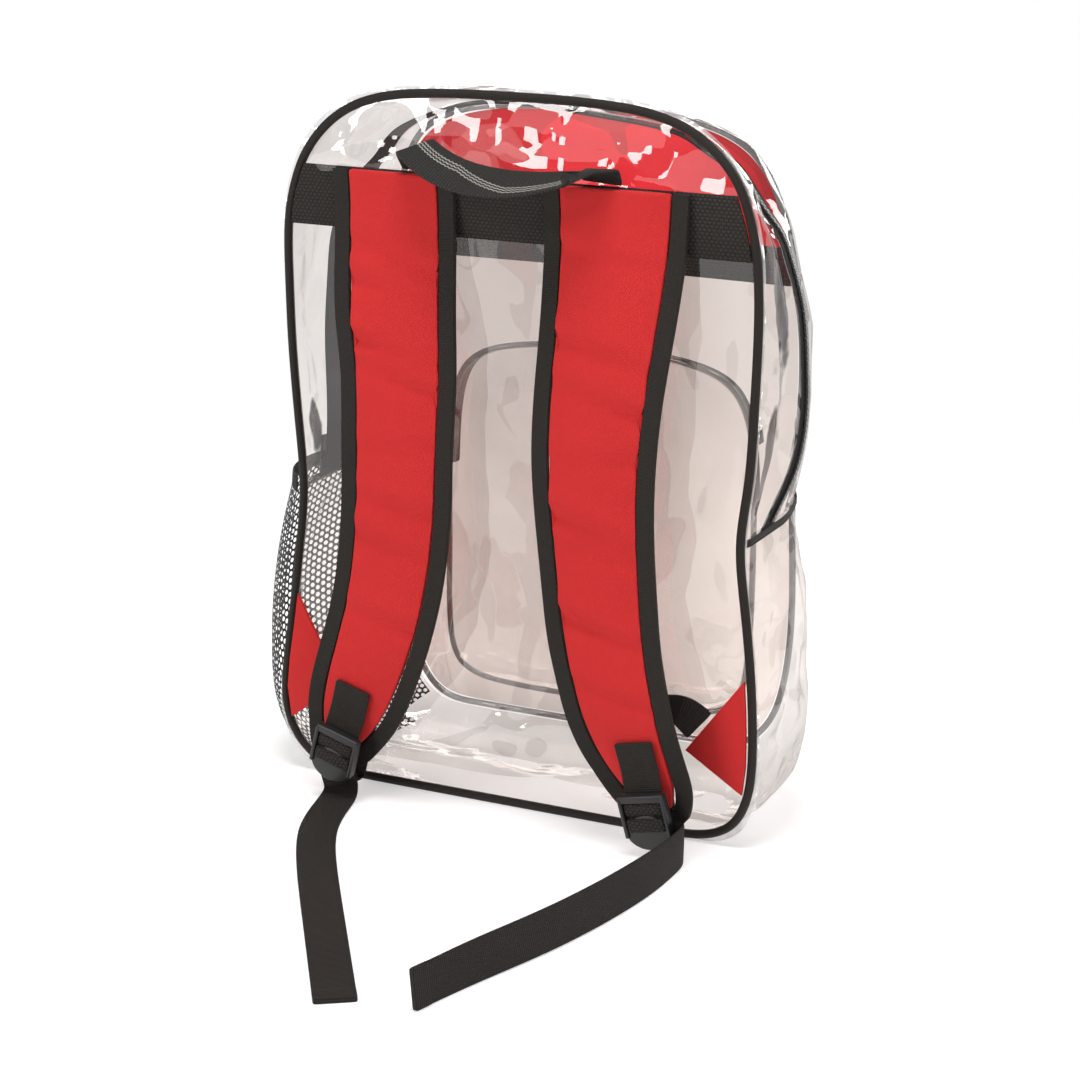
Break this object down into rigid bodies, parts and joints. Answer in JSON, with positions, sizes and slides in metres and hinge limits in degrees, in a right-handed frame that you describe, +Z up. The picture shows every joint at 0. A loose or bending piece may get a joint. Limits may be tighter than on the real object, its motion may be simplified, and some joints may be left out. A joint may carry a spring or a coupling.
{
  "type": "clear stadium backpack",
  "caption": "Clear vinyl stadium backpack with black piping, padded red shoulder straps, ladder-lock buckles, a zipped main compartment, a zipped front pocket and a side mesh pocket.",
  "frame": {"origin": "On the floor in the middle of the bag's flat bottom, 45 mm from the back panel towards the front pocket", "axes": "+X to the right as seen from the strap side (left and right in the names are also as seen from there), +Y from the straps towards the front pocket, +Z up"},
  "size_m": [0.3779, 0.4534, 0.4592],
  "materials": {
    "clear_vinyl": "transparent, creased film",
    "smoke_piping": "translucent cord",
    "black_webbing": "woven polypropylene",
    "black_binding": "ribbed tape",
    "red_fabric": "fine woven polyester",
    "black_mesh": "open knitted mesh",
    "black_plastic": "moulded acetal"
  },
  "bodies": {
    "root": {"back_panel": "clear_vinyl", "lower_gusset": "clear_vinyl", "zip_gusset_rear": "clear_vinyl", "zip_gusset_front": "clear_vinyl", "front_panel": "clear_vinyl", "front_pocket": "clear_vinyl", "front_piping": "smoke_piping", "pocket_piping": "smoke_piping", "back_band": "black_webbing", "yoke_trim": "black_webbing", "strap_end_left": "black_webbing", "strap_end_right": "black_webbing", "strap_tail_left": "black_webbing", "strap_tail_right": "black_webbing", "lower_webbing_left": "black_webbing", "lower_webbing_right": "black_webbing", "grab_handle": "black_webbing", "zip_tape": "black_webbing", "pocket_zip": "black_webbing", "mesh_elastic": "black_webbing", "back_piping": "black_binding", "seam_tape_right": "black_binding", "seam_tape_left": "black_binding", "strap_binding_left": "black_binding", "strap_binding_right": "black_binding", "front_yoke": "red_fabric", "corner_triangle_left": "red_fabric", "corner_triangle_right": "red_fabric", "shoulder_pad_left": "red_fabric", "shoulder_pad_right": "red_fabric", "side_mesh": "black_mesh", "zip_coil": "black_plastic", "zip_slider": "black_plastic", "zip_pull": "black_plastic", "pocket_zip_slider": "black_plastic", "buckle_left": "black_plastic", "buckle_right": "black_plastic"}
  },
  "joints": []
}
